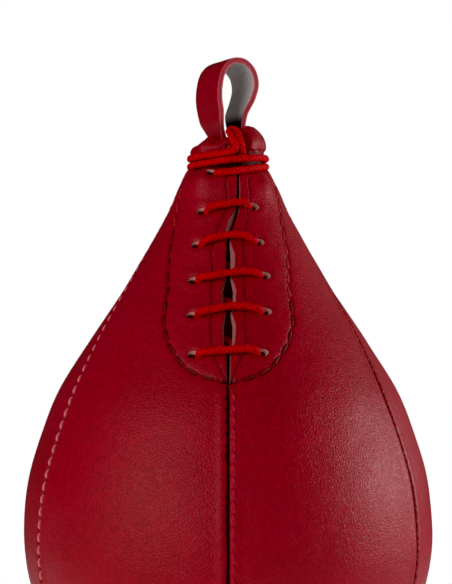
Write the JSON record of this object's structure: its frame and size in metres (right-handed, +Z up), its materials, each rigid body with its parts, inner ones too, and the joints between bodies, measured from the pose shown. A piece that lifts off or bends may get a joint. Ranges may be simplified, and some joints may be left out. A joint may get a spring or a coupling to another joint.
{
  "type": "speed bag",
  "caption": "Teardrop leather speed bag with a laced throat, stitched gores, an inner bladder and a leather hanging loop that flexes at the neck.",
  "frame": {"origin": "inside top of the hanging loop, where the swivel's hook carries it, on the bag's vertical axis", "axes": "+Z up, the laced throat faces -Y, +X is to the right seen from the laced side"},
  "size_m": [0.1768, 0.1797, 0.2942],
  "materials": {
    "leather": "semi-gloss, fine grain",
    "strap_leather": "semi-gloss, cut edges paler",
    "facing_leather": "matt split leather",
    "lining_cloth": "plain woven cotton",
    "seam_tape": "woven tape",
    "thread": "waxed thread",
    "lace_cord": "braided polyester cord",
    "bladder_rubber": "matt latex",
    "valve_rubber": "moulded"
  },
  "bodies": {
    "loop": {"hanging_loop": "strap_leather"},
    "bag": {"panel_front_left": "leather", "panel_side_left": "leather", "panel_back_left": "leather", "panel_front_right": "leather", "panel_side_right": "leather", "panel_back_right": "leather", "lining_front_left": "lining_cloth", "lining_side_left": "lining_cloth", "lining_back_left": "lining_cloth", "lining_front_right": "lining_cloth", "lining_side_right": "lining_cloth", "lining_back_right": "lining_cloth", "seam_tape_front": "seam_tape", "seam_tape_side_left": "seam_tape", "seam_tape_side_right": "seam_tape", "seam_tape_back_left": "seam_tape", "seam_tape_back_right": "seam_tape", "seam_tape_back": "seam_tape", "facing_left": "facing_leather", "facing_right": "facing_leather", "tongue": "facing_leather", "seam_thread_front": "thread", "seam_thread_side_left": "thread", "seam_thread_side_right": "thread", "seam_thread_back_left": "thread", "seam_thread_back_right": "thread", "seam_thread_back": "thread", "facing_thread_left": "thread", "facing_thread_right": "thread", "slit_thread_left": "thread", "slit_thread_right": "thread", "lace": "lace_cord", "lace_stopper_knot": "lace_cord", "loop_tail_left": "strap_leather", "loop_tail_right": "strap_leather", "bladder": "bladder_rubber", "valve_housing": "valve_rubber", "valve_plug": "valve_rubber"}
  },
  "joints": [
    {"name": "neck_sway", "type": "hinge", "parent": "loop", "child": "bag", "pos_m": [0, 0, -0.028], "axis": [-0.5, 0.866, 0], "range_deg": [-30, 30]}
  ]
}
